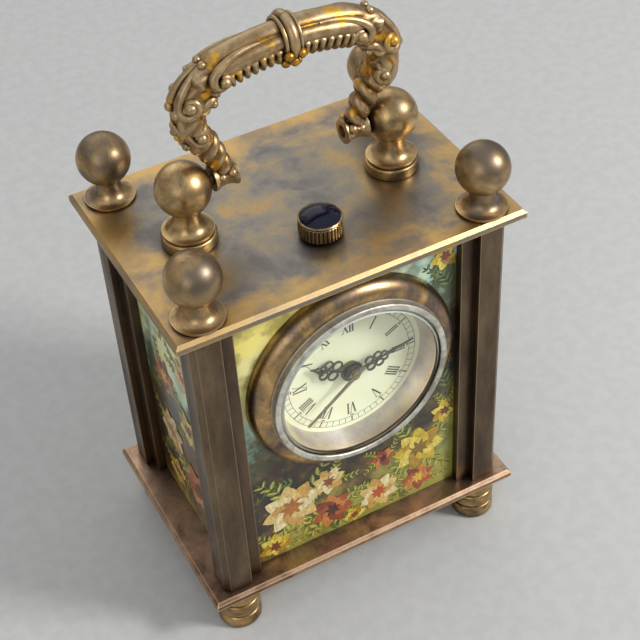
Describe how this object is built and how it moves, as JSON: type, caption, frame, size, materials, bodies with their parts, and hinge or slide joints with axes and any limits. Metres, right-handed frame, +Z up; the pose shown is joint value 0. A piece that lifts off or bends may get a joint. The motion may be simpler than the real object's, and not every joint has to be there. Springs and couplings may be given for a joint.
{
  "type": "miniature desk clock",
  "caption": "Small brass carriage-style desk clock with swing bow handle, ball finials, painted panels, round dial under glass and a top crown with a stone.",
  "frame": {"origin": "middle of the footprint, on the plane of the four feet", "axes": "+Z up, -Y out of the dial, +X to the viewer's right when facing the dial"},
  "size_m": [0.045, 0.0318, 0.0794],
  "materials": {
    "top_plate": "aged, mottled patina",
    "bottom_plate": "aged, brushed",
    "antique_brass": "aged, polished high spots",
    "column_bronze": "dark bronze patina, satin",
    "handle_bronze": "cast, antique bronze with bright recesses",
    "panel_enamel": "painted scene under lacquer",
    "bezel_brass": "aged, bright lip",
    "crystal_glass": "polished",
    "reflector_metal": "silvered, satin",
    "dial_enamel": "cream, satin",
    "hand_steel": "dark, blued",
    "seconds_steel": "plain",
    "stone_glass": "polished, deep blue",
    "movement_brass": "fine grained",
    "steel": "ground"
  },
  "bodies": {
    "case": {"bottom_plate": "bottom_plate", "top_plate": "top_plate", "feet": "antique_brass", "finials": "antique_brass", "tie_rods": "steel", "column_front_left": "column_bronze", "column_front_right": "column_bronze", "column_back_left": "column_bronze", "column_back_right": "column_bronze", "front_panel": "panel_enamel", "back_panel": "antique_brass", "left_panel": "panel_enamel", "right_panel": "panel_enamel", "handle_post_left": "antique_brass", "handle_post_right": "antique_brass", "post_nuts": "steel", "handle_pins": "steel", "bezel": "bezel_brass", "crystal": "crystal_glass", "reflector_ring": "reflector_metal", "dial": "dial_enamel", "movement_ring": "movement_brass", "case_screws": "steel", "mainplate": "movement_brass", "train_bridge": "movement_brass", "balance_cock": "movement_brass", "pallet_bridge": "movement_brass", "crown_wheel_screw": "steel", "click_screw": "steel", "setting_cover": "steel", "cover_screw": "steel", "stem_tube": "steel"},
    "handle": {"handle": "handle_bronze"},
    "setting": {"setting_slide": "steel"},
    "crown": {"crown": "antique_brass", "cabochon": "stone_glass", "winding_stem": "steel", "winding_pinion": "steel"},
    "winding": {"barrel_arbor": "steel", "ratchet_wheel": "steel"},
    "crown_wheel": {"crown_wheel": "steel"},
    "click": {"click": "steel"},
    "barrel": {"barrel": "movement_brass", "barrel_cover": "movement_brass", "mainspring": "steel"},
    "minute": {"centre_wheel": "movement_brass", "cannon_pinion": "steel", "minute_hand": "hand_steel"},
    "third": {"third_wheel": "movement_brass"},
    "seconds": {"fourth_wheel": "movement_brass", "seconds_hand": "seconds_steel"},
    "escape": {"escape_wheel": "steel"},
    "fork": {"pallet_fork": "steel"},
    "balance": {"balance_wheel": "movement_brass", "hairspring": "steel"},
    "motion": {"minute_wheel": "movement_brass"},
    "hour": {"hour_wheel": "movement_brass", "hour_hand": "hand_steel"}
  },
  "joints": [
    {"name": "handle_swing", "type": "hinge", "parent": "case", "child": "handle", "pos_m": [0, 0, 0.06095], "axis": [1, 0, 0], "range_deg": [-104, 96]},
    {"name": "crown_pull", "type": "slide", "parent": "case", "child": "setting", "axis": [0, 0, 1], "range_m": [0, 0.001]},
    {"name": "crown_turn", "type": "hinge", "parent": "setting", "child": "crown", "pos_m": [0, -0.0069, 0.056], "axis": [0, 0, 1], "continuous": true},
    {"name": "crown_wheel_turn", "type": "hinge", "parent": "case", "child": "crown_wheel", "pos_m": [-0.002, -0.0085, 0.04402], "axis": [0, 1, 0], "continuous": true},
    {"name": "ratchet_turn", "type": "hinge", "parent": "case", "child": "winding", "pos_m": [-0.00429, -0.0085, 0.0398], "axis": [0, 1, 0], "continuous": true},
    {"name": "click_swing", "type": "hinge", "parent": "case", "child": "click", "pos_m": [-0.0082, -0.0085, 0.0418], "axis": [0, 1, 0], "range_deg": [0, 8]},
    {"name": "seconds_turn", "type": "hinge", "parent": "case", "child": "seconds", "pos_m": [0, -0.00125, 0.0362], "axis": [0, 1, 0], "continuous": true},
    {"name": "minutes_turn", "type": "hinge", "parent": "case", "child": "minute", "pos_m": [0, -0.00305, 0.0362], "axis": [0, 1, 0], "continuous": true},
    {"name": "hours_turn", "type": "hinge", "parent": "case", "child": "hour", "pos_m": [0, -0.01, 0.0362], "axis": [0, 1, 0], "continuous": true},
    {"name": "third_turn", "type": "hinge", "parent": "case", "child": "third", "pos_m": [0.00295, -0.0022, 0.03972], "axis": [0, 1, 0], "continuous": true},
    {"name": "escape_turn", "type": "hinge", "parent": "case", "child": "escape", "pos_m": [0.00349, -0.0045, 0.03327], "axis": [0, 1, 0], "continuous": true},
    {"name": "barrel_turn", "type": "hinge", "parent": "case", "child": "barrel", "pos_m": [-0.00429, -0.0044, 0.0398], "axis": [0, 1, 0], "continuous": true},
    {"name": "motion_turn", "type": "hinge", "parent": "case", "child": "motion", "pos_m": [0, -0.0088, 0.0326], "axis": [0, 1, 0], "continuous": true},
    {"name": "fork_swing", "type": "hinge", "parent": "case", "child": "fork", "pos_m": [0.00364, -0.0045, 0.03083], "axis": [0, 1, 0], "range_deg": [-5, 5]},
    {"name": "balance_swing", "type": "hinge", "parent": "case", "child": "balance", "pos_m": [0.00377, -0.0033, 0.02864], "axis": [0, 1, 0], "range_deg": [-135, 135]}
  ],
  "couplings": [
    {"joint": "minutes_turn", "follows": "seconds_turn", "ratio": 0.016667},
    {"joint": "hours_turn", "follows": "seconds_turn", "ratio": 0.0013889},
    {"joint": "third_turn", "follows": "seconds_turn", "ratio": -0.125},
    {"joint": "escape_turn", "follows": "seconds_turn", "ratio": -10},
    {"joint": "barrel_turn", "follows": "seconds_turn", "ratio": -0.0027778},
    {"joint": "motion_turn", "follows": "seconds_turn", "ratio": -0.0055556},
    {"joint": "crown_wheel_turn", "follows": "crown_turn", "ratio": -0.5},
    {"joint": "ratchet_turn", "follows": "crown_turn", "ratio": 0.5}
  ]
}
